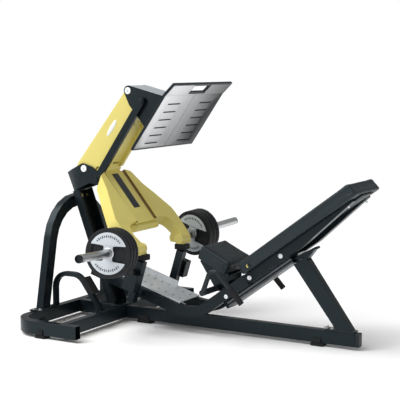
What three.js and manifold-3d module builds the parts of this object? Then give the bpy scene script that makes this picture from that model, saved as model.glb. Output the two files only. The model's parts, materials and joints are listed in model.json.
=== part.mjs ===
// Plate-loaded lever leg press. Millimetres, +Z up, +X towards the backrest, +Y to the far side.
// The floor is Z = 0 and the origin is under the middle of the machine.
import * as THREE from "three";
import { mergeVertices } from "three/addons/utils/BufferGeometryUtils.js";
import Module from "manifold-3d";

const wasm = await Module();
wasm.setup();

// ---- driving dimensions -------------------------------------------------------------------
const ORIGIN_SHIFT = -0.7; // brings the origin under the middle of the whole machine
const GAP = 0.3; // between pieces that touch
const WALL = 3; // tube wall
const PLATE = 10; // bracket plate
const FOOT_HEIGHT = 20; // rubber feet
const BASE = { width: 50, depth: 80, top: FOOT_HEIGHT + 80 };
const REAR_X = -995; // centre of the lateral floor tube
const STUB_Y = 665; // centre of its two forward stubs
const STUB_END_X = -518;
const CROSS_X = -630; // centre of the second lateral floor tube
const BEAM_END_X = 972;
const FLANGE = 10; // thickness of the foot flanges

const LEVER_PIVOT = { x: -872, z: 974 };
const FOOTPLATE_PIVOT = { x: -530, z: 1473 };
const LINK_OFFSET = { x: 108, z: -64 }; // link pins from the two main pins
const ARM_HALF = 82; // half width of the lever arm
const ARM_ANGLE = Math.atan2(FOOTPLATE_PIVOT.z - LEVER_PIVOT.z, FOOTPLATE_PIVOT.x - LEVER_PIVOT.x);
const ARM_LENGTH = Math.hypot(FOOTPLATE_PIVOT.z - LEVER_PIVOT.z, FOOTPLATE_PIVOT.x - LEVER_PIVOT.x);
const FORK_ANGLE = (-50.2 * Math.PI) / 180;
const FOOT_Z = 486; // underside of the fork's feet
const CHEEK_IN = 84; // inner face of the bracket cheeks
const CHEEK_OUT = CHEEK_IN + PLATE;
const PIN_R = 15;
const LINK_PIN_R = 11;
const RUN = 0.3; // radial clearance of a turning joint

const HORN = { root: 326, mid: [-383, 500, 526], tip: [-321, 919, 556], r: 24.8 };
const DISC = { r: 150, bore: 25.4, thickness: 37, pitch: 37.6, first: 444 };

const CATCH = { x: -412, z: 216, y: 237 };
const RELEASE = { x: 108, z: 296, y: 276 };

const RAIL_ANGLE = (36 * Math.PI) / 180;
const RAIL_MID = { x: 372, z: 345 };
const RAIL_THICK = 36;
const BAR_DEPTH = 58;
const BAR_Y = [86, 134]; // inner and outer faces of the curved side tubes and backrest bars
const STEP_ANGLE = (16.9 * Math.PI) / 180;

// ---- solids -------------------------------------------------------------------------------
function toSolid(geometry) {
  const bare = geometry.index ? geometry.toNonIndexed() : geometry.clone();
  for (const name of Object.keys(bare.attributes)) if (name !== "position") bare.deleteAttribute(name);
  const merged = mergeVertices(bare, 1e-3);
  return new wasm.Manifold(
    new wasm.Mesh({
      numProp: 3,
      vertProperties: merged.attributes.position.array,
      triVerts: new Uint32Array(merged.index.array),
    }),
  );
}

function toGeometry(solid) {
  const mesh = solid.getMesh();
  const geometry = new THREE.BufferGeometry();
  geometry.setAttribute("position", new THREE.BufferAttribute(mesh.vertProperties, 3));
  geometry.setIndex(new THREE.BufferAttribute(mesh.triVerts, 1));
  geometry.computeVertexNormals();
  return geometry;
}

function cut(body, ...tools) {
  return toGeometry(tools.reduce((left, tool) => left.subtract(toSolid(tool)), toSolid(body)));
}

function join(...pieces) {
  return toGeometry(pieces.map(toSolid).reduce((sum, piece) => sum.add(piece)));
}

// ---- outlines -----------------------------------------------------------------------------
// Corners are [u, v] or [u, v, radius]; a corner with a radius becomes an arc.
function rounded(corners, closed = true) {
  const points = [];
  corners.forEach(([u, v, radius], i) => {
    const here = new THREE.Vector2(u, v);
    if (!radius || (!closed && (i === 0 || i === corners.length - 1))) return points.push(here);
    const before = corners[(i + corners.length - 1) % corners.length];
    const after = corners[(i + 1) % corners.length];
    const back = new THREE.Vector2(before[0], before[1]).sub(here).normalize();
    const ahead = new THREE.Vector2(after[0], after[1]).sub(here).normalize();
    const half = Math.acos(THREE.MathUtils.clamp(back.dot(ahead), -1, 1)) / 2;
    const centre = back.clone().add(ahead).normalize().multiplyScalar(radius / Math.sin(half)).add(here);
    const first = here.clone().addScaledVector(back, radius / Math.tan(half)).sub(centre);
    const turn = Math.PI - 2 * half;
    const side = Math.sign(back.cross(ahead)) || 1;
    const steps = Math.max(2, Math.ceil(turn / 0.3));
    for (let k = 0; k <= steps; k++) {
      const spun = first.clone().rotateAround(new THREE.Vector2(), (-side * turn * k) / steps);
      points.push(spun.add(centre));
    }
  });
  return points;
}

// The outline of a strip of the given width along a centre line.
function strip(path, width, extend = 0) {
  const line = rounded(path, false);
  const start = line[0].clone().sub(line[1]).setLength(extend || 1e-9);
  const end = line.at(-1).clone().sub(line.at(-2)).setLength(extend || 1e-9);
  line[0].add(start);
  line.at(-1).add(end);
  const left = [];
  const right = [];
  line.forEach((point, i) => {
    const a = line[Math.max(0, i - 1)];
    const b = line[Math.min(line.length - 1, i + 1)];
    const before = point.clone().sub(a).normalize();
    const after = b.clone().sub(point).normalize();
    const along = before.add(after).normalize();
    const out = i === 0 || i === line.length - 1 ? b.clone().sub(a).normalize() : along;
    const reach = width / 2 / Math.max(0.5, i ? out.dot(point.clone().sub(a).normalize()) || 1 : 1);
    left.push(point.clone().add(new THREE.Vector2(-out.y, out.x).multiplyScalar(reach)));
    right.push(point.clone().add(new THREE.Vector2(out.y, -out.x).multiplyScalar(reach)));
  });
  return left.concat(right.reverse());
}

const AXES = {
  x: new THREE.Matrix4().makeBasis(
    new THREE.Vector3(0, 1, 0),
    new THREE.Vector3(0, 0, 1),
    new THREE.Vector3(1, 0, 0),
  ),
  y: new THREE.Matrix4().makeBasis(
    new THREE.Vector3(1, 0, 0),
    new THREE.Vector3(0, 0, 1),
    new THREE.Vector3(0, -1, 0),
  ),
  z: new THREE.Matrix4(),
};

// Extrudes an outline along one axis, between two places on it.
// Along y the outline is (x, z), along x it is (y, z) and along z it is (x, y).
function extrude(outline, axis, from, to) {
  const low = Math.min(from, to);
  const high = Math.max(from, to);
  const geometry = new THREE.ExtrudeGeometry(new THREE.Shape(outline), {
    depth: high - low,
    bevelEnabled: false,
  });
  geometry.translate(0, 0, axis === "y" ? -high : low);
  return geometry.applyMatrix4(AXES[axis]);
}

function box(x0, x1, y0, y1, z0, z1) {
  const geometry = new THREE.BoxGeometry(x1 - x0, y1 - y0, z1 - z0);
  return geometry.translate((x0 + x1) / 2, (y0 + y1) / 2, (z0 + z1) / 2);
}

// A round bar between two points.
function rod(a, b, radius, segments = 24) {
  const start = new THREE.Vector3(...a);
  const end = new THREE.Vector3(...b);
  const geometry = new THREE.CylinderGeometry(radius, radius, start.distanceTo(end), segments);
  const turn = new THREE.Quaternion().setFromUnitVectors(
    new THREE.Vector3(0, 1, 0),
    end.clone().sub(start).normalize(),
  );
  geometry.applyQuaternion(turn);
  const middle = start.add(end).multiplyScalar(0.5);
  return geometry.translate(middle.x, middle.y, middle.z);
}

function rodY(x, z, y0, y1, radius, segments = 24) {
  return rod([x, Math.min(y0, y1), z], [x, Math.max(y0, y1), z], radius, segments);
}

// A solid through a row of sections, each a loop of the same number of [x, y, z] points.
function loft(sections) {
  const size = sections[0].length;
  const position = sections.flat(2);
  const index = [];
  const last = (sections.length - 1) * size;
  for (let s = 0; s + 1 < sections.length; s++)
    for (let i = 0; i < size; i++) {
      const a = s * size + i;
      const b = s * size + ((i + 1) % size);
      index.push(a, b, b + size, a, b + size, a + size);
    }
  for (let i = 1; i + 1 < size; i++) {
    index.push(0, i + 1, i);
    index.push(last, last + i, last + i + 1);
  }
  const geometry = new THREE.BufferGeometry();
  geometry.setAttribute("position", new THREE.Float32BufferAttribute(position, 3));
  geometry.setIndex(index);
  if (toSolid(geometry).volume() < 0) geometry.setIndex(index.reverse());
  return geometry;
}

// A hollow rectangular tube whose centre line lies in the X-Z plane.
function tubeXZ(path, depth, y0, y1, extend = 4) {
  const low = Math.min(y0, y1) + WALL;
  const high = Math.max(y0, y1) - WALL;
  return cut(
    extrude(strip(path, depth), "y", y0, y1),
    extrude(strip(path, depth - 2 * WALL, extend), "y", low, high),
  );
}

// ---- materials ----------------------------------------------------------------------------
const material = (color, roughness, metalness = 0) =>
  new THREE.MeshStandardMaterial({ color, roughness, metalness });
const frameBlack = material(0x2b3238, 0.5, 0.3);
const leverYellow = material(0xe6dc78, 0.45, 0.1);
const brushed = material(0xc9ccd0, 0.35, 0.9);
const chrome = material(0xd8dadc, 0.15, 1);
const pinWhite = material(0xf0f1f2, 0.4);
const rubber = material(0x151718, 0.9);
const padding = material(0x30363b, 0.7);
const discBlack = material(0x1f2427, 0.7, 0.1);
const alloy = material(0xb9bcc0, 0.4, 0.85);

const machine = new THREE.Group();
const frame = new THREE.Group();
frame.position.x = ORIGIN_SHIFT;
machine.add(frame);

function add(group, name, geometry, surface) {
  const mesh = new THREE.Mesh(geometry, surface);
  mesh.name = name;
  group.add(mesh);
  return mesh;
}

const SIDES = [
  ["near", -1],
  ["far", 1],
];

// ---- floor frame --------------------------------------------------------------------------
function floorFrame() {
  const low = FOOT_HEIGHT;
  const high = BASE.top;
  const path = [
    [STUB_END_X, -STUB_Y],
    [REAR_X, -STUB_Y, 150],
    [REAR_X, STUB_Y, 150],
    [STUB_END_X, STUB_Y],
  ];
  add(
    frame,
    "rear_floor_tube",
    cut(
      extrude(strip(path, BASE.width), "z", low, high),
      extrude(strip(path, BASE.width - 2 * WALL, 4), "z", low + WALL, high - WALL),
    ),
    frameBlack,
  );
  const half = BASE.width / 2;
  const reach = STUB_Y - half - GAP;
  add(
    frame,
    "cross_floor_tube",
    cut(
      box(CROSS_X - half, CROSS_X + half, -reach, reach, low, high),
      box(CROSS_X - half + WALL, CROSS_X + half - WALL, -reach - 1, reach + 1, low + WALL, high - WALL),
    ),
    frameBlack,
  );
  const beam = (name, x0, x1) =>
    add(
      frame,
      name,
      cut(
        box(x0, x1, -half, half, low, high),
        box(x0 - 1, x1 + 1, -half + WALL, half - WALL, low + WALL, high - WALL),
      ),
      frameBlack,
    );
  beam("column_floor_beam", REAR_X + half + GAP, CROSS_X - half - GAP);
  beam("main_floor_beam", CROSS_X + half + GAP, BEAM_END_X);
  add(
    frame,
    "main_beam_end_cap",
    box(BEAM_END_X + GAP, BEAM_END_X + 23, -half - 1, half + 1, low - 2, high + 2),
    frameBlack,
  );
}

// Rubber feet under the floor tubes.
function feet() {
  const places = [
    ["foot_main_beam_front", -468, 0, 50, 32],
    ["foot_main_beam_rear", 734, 0, 40, 32],
    ["foot_stub_near", -780, -STUB_Y, 36, 32],
    ["foot_stub_far", -780, STUB_Y, 36, 32],
    ["foot_rear_near", REAR_X, -420, 32, 40],
    ["foot_rear_far", REAR_X, 420, 32, 40],
  ];
  places.forEach(([name, x, y, hx, hy]) =>
    add(frame, name, box(x - hx, x + hx, y - hy, y + hy, 0, FOOT_HEIGHT - GAP), rubber),
  );
}

// ---- rear arch, column and head bracket -----------------------------------------------------
const ARCH = { x: -1005, half: 25, width: 76, footY: 368, top: 760, leanY: 235 };
const COLUMN = { lean: 0.375, footX: -681, footZ: BASE.top, depth: 52, half: 75, wall: 8 };
const COLUMN_DIR = new THREE.Vector2(-COLUMN.lean, 1).normalize();

function arch() {
  const bottom = BASE.top + GAP;
  const slope = (ARCH.footY - ARCH.leanY) / (ARCH.top - bottom);
  const path = [
    [-ARCH.footY - 40 * slope, bottom - 40],
    [-ARCH.leanY, ARCH.top, 280],
    [ARCH.leanY, ARCH.top, 280],
    [ARCH.footY + 40 * slope, bottom - 40],
  ];
  const flanges = SIDES.map(([, sign]) => {
    const y = sign * (ARCH.footY + 30);
    return box(ARCH.x - 25, ARCH.x + 35, y - 75, y + 75, bottom, bottom + FLANGE);
  });
  const left = ARCH.x - ARCH.half;
  const right = ARCH.x + ARCH.half;
  add(
    frame,
    "arch_frame",
    cut(
      join(extrude(strip(path, ARCH.width), "x", left, right), ...flanges),
      extrude(strip(path, ARCH.width - 2 * WALL), "x", left + WALL, right - WALL),
      box(ARCH.x - 60, ARCH.x + 60, -600, 600, 0, bottom),
    ),
    frameBlack,
  );
}

// A channel, open towards the seat, that leans back from the floor beam to the head bracket.
function column() {
  const foot = new THREE.Vector2(COLUMN.footX, COLUMN.footZ);
  const along = (length) => foot.clone().addScaledVector(COLUMN_DIR, length);
  const topLength = 777;
  const line = [along(-30), along(topLength)].map((p) => [p.x, p.y]);
  const normal = new THREE.Vector2(COLUMN_DIR.y, -COLUMN_DIR.x);
  const inner = line.map(([x, z]) => [
    x + normal.x * (COLUMN.wall / 2 + 2),
    z + normal.y * (COLUMN.wall / 2 + 2),
  ]);
  const bottom = BASE.top + GAP;
  const web = COLUMN.half - COLUMN.wall;
  const x = COLUMN.footX - 4;
  const channel = cut(
    extrude(strip(line, COLUMN.depth), "y", -COLUMN.half, COLUMN.half),
    extrude(strip(inner, COLUMN.depth - COLUMN.wall + 4, 10), "y", -web, web),
  );
  const flange = box(x - 72, x + 78, -COLUMN.half - 8, COLUMN.half + 8, bottom, bottom + FLANGE);
  add(
    frame,
    "column",
    cut(join(channel, flange), box(-900, -500, -200, 200, 0, bottom)),
    frameBlack,
  );
}

// Folded head bracket: two cheeks that carry the lever and link pins, and a tapered back box
// that stands on the column.
function headBracket() {
  const { x, z } = LEVER_PIVOT;
  const link = { x: x + LINK_OFFSET.x, z: z + LINK_OFFSET.z };
  const outline = rounded([
    [x - 95, z - 8],
    [x - 14, z + 34, 26],
    [x + 60, z + 14, 40],
    [link.x + 38, link.z + 18, 26],
    [link.x + 22, link.z - 44, 26],
    [x + 40, z - 92, 10],
    [x - 49, z - 133],
  ]);
  const cheeks = SIDES.map(([, sign]) => extrude(outline, "y", sign * CHEEK_IN, sign * CHEEK_OUT));
  const fold = [
    [x - 95, z - 8],
    [x - 49, z - 133],
  ];
  const rear = [
    [x - 154, z - 33],
    [x - 103, z - 154],
  ];
  const ring = (pair, y) => [
    [pair[0][0], -y, pair[0][1]],
    [pair[0][0], y, pair[0][1]],
    [pair[1][0], y, pair[1][1]],
    [pair[1][0], -y, pair[1][1]],
  ];
  const shell = loft([ring(rear, 62), ring(fold, CHEEK_OUT)]);
  const inset = (pair, dx) => pair.map(([px, pz], i) => [px + dx, pz + (i ? 8 : -8)]);
  const hollow = loft([ring(inset(rear, 9), 54), ring(inset(fold, 12), CHEEK_IN)]);
  const bores = [
    rodY(x, z, -120, 120, PIN_R + RUN),
    rodY(link.x, link.z, -120, 0, LINK_PIN_R + RUN, 20),
  ];
  add(frame, "head_bracket", cut(join(shell, ...cheeks), hollow, ...bores), frameBlack);
}

// ---- lower travel stops -----------------------------------------------------------------------
const LOOP = { y: 260, size: 30, leftX: -983, apexZ: 318, kneeX: -792, rightX: -629 };
const LOOP_LEG = Math.atan2(LOOP.apexZ - BASE.top, LOOP.rightX - LOOP.kneeX);

function stopLoops() {
  const floor = BASE.top + GAP;
  const path = [
    [LOOP.leftX, BASE.top],
    [LOOP.leftX, LOOP.apexZ, 92],
    [LOOP.kneeX, LOOP.apexZ, 92],
    [LOOP.rightX, BASE.top],
  ];
  SIDES.forEach(([side, sign]) => {
    const y0 = sign * (LOOP.y - LOOP.size / 2);
    const y1 = sign * (LOOP.y + LOOP.size / 2);
    const lowY = Math.min(y0, y1);
    const highY = Math.max(y0, y1);
    const feet = [LOOP.leftX + 2, LOOP.rightX + 8].map((x) =>
      box(x - 32, x + 32, lowY - 22, highY + 22, floor, floor + 8),
    );
    add(
      frame,
      `stop_loop_${side}`,
      cut(
        join(extrude(strip(path, LOOP.size, 20), "y", y0, y1), ...feet),
        extrude(strip(path, LOOP.size - 2 * WALL, 24), "y", lowY + WALL, highY - WALL),
        box(-1100, -500, -400, 400, 0, floor),
      ),
      frameBlack,
    );
    const block = new THREE.Group();
    block.position.set(LOOP.kneeX + 95 * Math.cos(LOOP_LEG), 0, LOOP.apexZ - 95 * Math.sin(LOOP_LEG));
    block.rotation.y = LOOP_LEG;
    frame.add(block);
    const rest = LOOP.size / 2 + GAP;
    add(
      block,
      `stop_block_${side}`,
      box(-59, 59, lowY - 18, highY + 18, rest, rest + 26),
      rubber,
    );
  });
}

// ---- curved side tubes, step plate and rail -----------------------------------------------------
const SIDE_DEPTH = 66;
const SIDE_LOW_Z = BASE.top + GAP + SIDE_DEPTH / 2;
const railZ = (x) => RAIL_MID.z + Math.tan(RAIL_ANGLE) * (x - RAIL_MID.x);
const SIDE_OVER_RAIL = (RAIL_THICK / 2 + 1 + SIDE_DEPTH / 2) / Math.cos(RAIL_ANGLE);
const stepLine = (x) => 213 - Math.tan(STEP_ANGLE) * (x + 393);

function sideTubes() {
  const slopeX = (z) => RAIL_MID.x + (z - SIDE_OVER_RAIL - RAIL_MID.z) / Math.tan(RAIL_ANGLE);
  const leftX = -393 - (SIDE_LOW_Z - 213) / Math.tan(STEP_ANGLE);
  const startX = -792;
  const endZ = 371;
  const path = [
    [startX, stepLine(startX)],
    [leftX, SIDE_LOW_Z, 300],
    [slopeX(SIDE_LOW_Z), SIDE_LOW_Z, 190],
    [slopeX(endZ), endZ],
  ];
  SIDES.forEach(([side, sign]) => {
    const tube = tubeXZ(path, SIDE_DEPTH, sign * BAR_Y[0], sign * BAR_Y[1]);
    add(
      frame,
      `side_tube_${side}`,
      cut(tube, rodY(CATCH.x, CATCH.z, -300, 300, 19 + RUN)),
      frameBlack,
    );
  });
}

const STEP = { half: 117, thick: 6, lift: 45 };

function stepPlate() {
  const group = new THREE.Group();
  const middleX = -355;
  group.position.set(middleX, 0, stepLine(middleX) + STEP.lift);
  group.rotation.y = STEP_ANGLE;
  frame.add(group);
  const low = -222;
  const high = 222;
  const slot = (x, y) => box(x - 4, x + 4, y - 13, y + 13, -20, 20);
  const slots = [];
  for (let i = 0; i < 8; i++) slots.push(slot(low + 30 + i * 54, 62), slot(low + 30 + i * 54, -62));
  add(
    group,
    "step_plate",
    cut(
      join(
        box(low, high, -STEP.half, STEP.half, 0, STEP.thick),
        box(low, -8 + 60, STEP.half - STEP.thick, STEP.half, STEP.thick - 1, 34),
        box(low, high, -STEP.half, -STEP.half + 4, -6, 1),
        box(low, high, STEP.half - 4, STEP.half, -6, 1),
      ),
      ...slots,
    ),
    brushed,
  );
}

function rail() {
  const group = new THREE.Group();
  group.position.set(RAIL_MID.x, 0, RAIL_MID.z);
  group.rotation.y = -RAIL_ANGLE;
  frame.add(group);
  const half = RAIL_THICK / 2;
  const low = -262;
  const high = 262;
  const groove = (sign) => box(low - 1, high + 1, sign * 60 - 7, sign * 60 + 7, -3, 3);
  add(
    group,
    "backrest_rail",
    cut(
      box(low, high, -60, 60, -half, half),
      groove(-1),
      groove(1),
      box(low - 1, high + 1, -44, 44, -half + 5, half - 5),
    ),
    alloy,
  );
  add(group, "rail_end_cap", box(low - 22, low - GAP, -60, 60, -half, half), rubber);
  return group;
}

function rearStrut() {
  const foot = BASE.top + GAP;
  const outer = [
    [862, foot],
    [960, foot],
    [656, 524],
    [580, 469],
  ].map(([x, z]) => new THREE.Vector2(x, z));
  const hollow = [
    [867, foot - 1],
    [956, foot - 1],
    [652, 530],
    [585, 479],
  ].map(([x, z]) => new THREE.Vector2(x, z));
  add(
    frame,
    "rear_strut",
    cut(
      join(extrude(outer, "y", -30, 30), box(782, 968, -34, 34, foot, foot + FLANGE)),
      extrude(hollow, "y", -27, 27),
    ),
    frameBlack,
  );
}

// ---- seat ---------------------------------------------------------------------------------
function seat() {
  const outline = rounded([
    [-5, 476, 12],
    [167, 388, 12],
    [212, 465, 12],
    [22, 547, 16],
  ]);
  add(frame, "seat_pad", extrude(outline, "y", -147, 147), padding);
  const plate = rounded([
    [-20, 446],
    [84, 290, 20],
    [112, 262, 26],
    [140, 292, 24],
    [176, 340],
    [180, 379.5],
    [0, 471.5],
  ]);
  const bore = rodY(RELEASE.x, RELEASE.z, -120, 120, 18 + RUN);
  const cheeks = SIDES.map(([, sign]) => extrude(plate, "y", sign * 74, sign * 84));
  const top = rounded([
    [0, 471.5],
    [180, 379.5],
    [177, 373.5],
    [-3, 465.5],
  ]);
  add(frame, "seat_bracket", cut(join(...cheeks, extrude(top, "y", -84, 84)), bore), frameBlack);
}

// ---- backrest carriage --------------------------------------------------------------------
function backrest(railGroup) {
  const carriage = new THREE.Group();
  railGroup.add(carriage);
  const centre = RAIL_THICK / 2 + 2 + BAR_DEPTH / 2;
  const top = centre + BAR_DEPTH / 2;
  const low = -27;
  const high = 812;
  const bar = rounded([
    [low + 14, centre - BAR_DEPTH / 2],
    [low + 430, centre - BAR_DEPTH / 2],
    [high, top - 12],
    [high, top],
    [low, top],
    [low, centre - BAR_DEPTH / 2 + 14],
  ]);
  const hollow = rounded([
    [low - 1, centre - BAR_DEPTH / 2 + WALL],
    [low + 428, centre - BAR_DEPTH / 2 + WALL],
    [high - 4, top - 12],
    [high - 4, top - WALL],
    [low - 1, top - WALL],
  ]);
  const pinX = [low + 30, low + 280];
  SIDES.forEach(([side, sign]) => {
    const bores = pinX.map((x) => rodY(x, centre, -200, 200, 10));
    add(
      carriage,
      `backrest_bar_${side}`,
      cut(
        extrude(bar, "y", sign * BAR_Y[0], sign * BAR_Y[1]),
        extrude(hollow, "y", sign * (BAR_Y[0] + WALL), sign * (BAR_Y[1] - WALL)),
        ...bores,
      ),
      frameBlack,
    );
  });
  pinX.forEach((x, i) =>
    add(
      carriage,
      `backrest_cross_bolt_${i + 1}`,
      join(
        rodY(x, centre, -BAR_Y[1] - 1, BAR_Y[1] + 1, 9.7),
        rodY(x, centre, BAR_Y[1] + GAP, BAR_Y[1] + 7, 14),
        rodY(x, centre, -BAR_Y[1] - 7, -BAR_Y[1] - GAP, 14),
      ),
      pinWhite,
    ),
  );
  const slider = RAIL_THICK / 2 + 1;
  add(
    carriage,
    "rail_slider",
    cut(
      box(low - 6, low + 330, -BAR_Y[0] + GAP, BAR_Y[0] - GAP, slider, top - 2),
      ...pinX.map((x) => rodY(x, centre, -200, 200, 10)),
      box(low - 10, low + 400, -77, 77, slider + 8, top + 1),
    ),
    frameBlack,
  );
  const pad = rounded([
    [10, top + GAP, 10],
    [878, top + GAP, 10],
    [870, top + 75, 14],
    [8, top + 75, 12],
  ]);
  add(carriage, "backrest_pad", extrude(pad, "y", -187, 187), padding);
  return carriage;
}

// ---- safety catches -------------------------------------------------------------------------
function catches() {
  const group = new THREE.Group();
  group.position.set(CATCH.x, 0, CATCH.z);
  frame.add(group);
  add(group, "catch_shaft", rodY(0, 0, -CATCH.y + 25 + GAP, CATCH.y - 25 - GAP, 19), frameBlack);
  const lean = THREE.MathUtils.degToRad(17);
  SIDES.forEach(([side, sign]) => {
    const post = new THREE.Group();
    post.position.y = sign * CATCH.y;
    post.rotation.y = lean;
    group.add(post);
    const topZ = FOOT_Z - 1 - CATCH.z - 36;
    const length = topZ / Math.cos(lean);
    const outer = sign > 0 ? [24, 85] : [-85, -24];
    add(
      post,
      `catch_post_${side}`,
      cut(
        join(box(-25, 25, -25, 25, -34, length - 8), box(-44, 44, ...outer, 56, 166)),
        box(-22, 22, -22, 22, -40, length - 12),
        box(-40, 40, ...(sign > 0 ? [28, 81] : [-81, -28]), 50, 162),
      ),
      frameBlack,
    );
    const cap = new THREE.Group();
    cap.position.set(length * Math.sin(lean), sign * CATCH.y, topZ);
    group.add(cap);
    add(cap, `catch_pad_${side}`, box(-40, 40, -33, 33, 0.5, 35.5), rubber);
  });
}

// ---- release handles ------------------------------------------------------------------------
function releaseHandles() {
  const group = new THREE.Group();
  group.position.set(RELEASE.x, 0, RELEASE.z);
  frame.add(group);
  const path = rounded(
    [
      [0, 0],
      [78, 168, 38],
      [260, -40],
    ],
    false,
  );
  const grip = 118;
  const end = path.at(-1);
  const before = path.at(-2);
  const direction = end.clone().sub(before).normalize();
  const gripStart = end.clone().addScaledVector(direction, -grip);
  const bar = path.slice(0, -1).concat([gripStart.clone().addScaledVector(direction, -GAP)]);
  const pieces = [rodY(0, 0, -RELEASE.y - 13, RELEASE.y + 13, 18)];
  SIDES.forEach(([side, sign]) => {
    const at = (p) => [p.x, sign * RELEASE.y, p.y];
    bar.slice(1).forEach((p, i) => pieces.push(rod(at(bar[i]), at(p), 12.5, 8)));
    add(group, `release_grip_${side}`, rod(at(gripStart), at(end), 17, 16), rubber);
  });
  add(group, "release_handles", join(...pieces), frameBlack);
}

// ---- lever ----------------------------------------------------------------------------------
const lever = new THREE.Group();
lever.position.set(LEVER_PIVOT.x, 0, LEVER_PIVOT.z);
frame.add(lever);

// Arm outline as distance along the arm and distance in front of it.
function armOutline(grow) {
  const hub = 64 + grow;
  const nose = 24;
  const end = ARM_LENGTH + nose;
  return rounded([
    [-hub, -hub - 4, hub - 1],
    [ARM_LENGTH - 48, -26 - grow, 12],
    [end, -nose, nose - 0.1],
    [end, nose, nose - 0.1],
    [520, 100, 15],
    [440, 143 + grow, 8],
    [112 - grow, 143 + grow, 8],
    [66 - grow, hub + 2, 10],
    [-hub, hub + 2, hub - 1],
  ]).map((p) => new THREE.Vector2(p.x, -p.y));
}

function leverArm() {
  const arm = new THREE.Group();
  arm.rotation.y = -ARM_ANGLE;
  lever.add(arm);
  const hollow = [
    [70, 53],
    [535, 21],
    [535, -20],
    [508, -92],
    [436, -112],
    [124, -112],
    [92, -62],
  ].map(([x, z]) => new THREE.Vector2(x, z));
  add(
    arm,
    "lever_arm",
    cut(
      extrude(armOutline(0), "y", -ARM_HALF, ARM_HALF),
      box(110, 500, -62, 62, -160, -120),
      extrude(hollow, "y", -ARM_HALF + 6, ARM_HALF - 6),
      box(80, 130, -50, 50, -160, -80),
      rodY(0, 0, -100, 100, PIN_R + RUN),
      rodY(ARM_LENGTH, 0, -100, 100, PIN_R + RUN),
    ),
    leverYellow,
  );
}

// Fork sections: distance down the fork at the front and how much further down the back is,
// inner and outer half width, front at the inner and the outer edge, and back.
const FORK = [
  { s: 112, lag: 62, inner: 70, outer: 88, front: 122, edge: 125, back: 32 },
  { s: 140, lag: 46, inner: 70, outer: 168, front: 119, edge: 122, back: 33 },
  { s: 245, lag: 6, inner: 70, outer: 203, front: 120, edge: 124, back: 35 },
  { s: 326, lag: 0, inner: 70, outer: 251, front: 122, edge: 128, back: 40 },
  { s: 460, lag: 0, inner: 80, outer: 325, front: 126, edge: 132, back: 47 },
  { s: 500, lag: 0, inner: 104, outer: 328, front: 127, edge: 134, back: 48 },
  { s: 514, lag: 0, inner: 196, outer: 328, front: 128, edge: 134, back: 49 },
  { s: 534, lag: 0, inner: 230, outer: 328, front: 128, edge: 135, back: 51 },
  { s: 566, lag: 0, inner: 246, outer: 326, front: 130, edge: 136, back: 55 },
  { s: 606, lag: 0, inner: 250, outer: 321, front: 133, edge: 138, back: 60 },
  { s: 648, lag: 0, inner: 238, outer: 317, front: 135, edge: 138, back: 65 },
  { s: 686, lag: 0, inner: 218, outer: 314, front: 136, edge: 138, back: 68 },
  { s: 730, lag: 0, inner: 214, outer: 312, front: 112, edge: 112, back: 66 },
];

const PANEL_HALF = 118; // half width of the fork's sunk panel

function forkWing(sign) {
  return loft(
    FORK.map(({ s, lag, inner, outer, front, edge, back }) => [
      [s + lag, sign * inner, back],
      [s + lag, sign * outer, back + 6],
      [s, sign * outer, edge],
      [s, sign * inner, front],
    ]),
  );
}

// The inside of a wing, beside the panel and open at the back.
function forkWingHollow(sign, skin) {
  const sections = FORK.slice(1);
  return loft(
    sections.map(({ s, lag, inner, outer, front, edge }, i) => {
      const ends = i === 0 ? 1 : i === sections.length - 1 ? -1 : 0;
      const x = s + ends * skin;
      const y0 = sign * Math.max(inner + skin, PANEL_HALF + 3);
      const y1 = sign * (outer - skin);
      return [
        [x + lag, y0, -60],
        [x + lag, y1, -60],
        [x, y1, edge - skin],
        [x, y0, front - skin],
      ];
    }),
  );
}

function hornPoint(y, sign) {
  const [mid, tip] = [HORN.mid, HORN.tip];
  const t = (y - mid[1]) / (tip[1] - mid[1]);
  return [
    mid[0] + t * (tip[0] - mid[0]) - LEVER_PIVOT.x,
    sign * y,
    mid[2] + t * (tip[2] - mid[2]) - LEVER_PIVOT.z,
  ];
}

function leverFork() {
  const turn = new THREE.Matrix4().makeRotationY(-FORK_ANGLE);
  const placed = (geometry) => geometry.applyMatrix4(turn);
  const arm = extrude(armOutline(GAP), "y", -ARM_HALF - GAP, ARM_HALF + GAP);
  arm.applyMatrix4(new THREE.Matrix4().makeRotationY(-ARM_ANGLE));
  const footZ = FOOT_Z - LEVER_PIVOT.z;
  const footX = -352 - LEVER_PIVOT.x;
  const pieces = SIDES.flatMap(([, sign]) => [
    placed(forkWing(sign)),
    rodY(footX, footZ + 32, sign * 210, sign * 312, 32),
    rod(hornPoint(262, sign), hornPoint(HORN.root - GAP, sign), 38),
  ]);
  const hollows = SIDES.map(([, sign]) => placed(forkWingHollow(sign, 7)));
  const panel = [
    placed(box(60, 180, -81, 81, 45, 111)),
    placed(box(174, 512, -PANEL_HALF, PANEL_HALF, 45, 111)),
  ];
  const panelHollow = [
    placed(box(67, 182, -74, 74, -60, 104)),
    placed(box(180, 505, -111, 111, -60, 104)),
  ];
  const recess = placed(box(60, 545, -114, 114, 111, 150));
  const wings = pieces.filter((_, i) => i % 3 === 0);
  const feet = pieces.filter((_, i) => i % 3 !== 0);
  const shell = cut(join(...wings, ...panel), ...hollows, ...panelHollow, recess);
  add(
    lever,
    "lever_fork",
    cut(
      join(shell, crossTube(), ...feet),
      arm,
      box(-200, 900, -400, 400, footZ - 200, footZ),
    ),
    leverYellow,
  );
}

// The round tube that ties the two legs together under the front panel.
function crossTube() {
  const [s, n] = [528, 78];
  const x = s * Math.cos(FORK_ANGLE) + n * Math.sin(-FORK_ANGLE);
  const z = s * Math.sin(FORK_ANGLE) + n * Math.cos(FORK_ANGLE);
  return rodY(x, z, -130, 130, 24);
}

// ---- link, footplate and their pins -----------------------------------------------------------
const LINK = { inner: 98.3, outer: 118, half: 23 };

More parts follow.
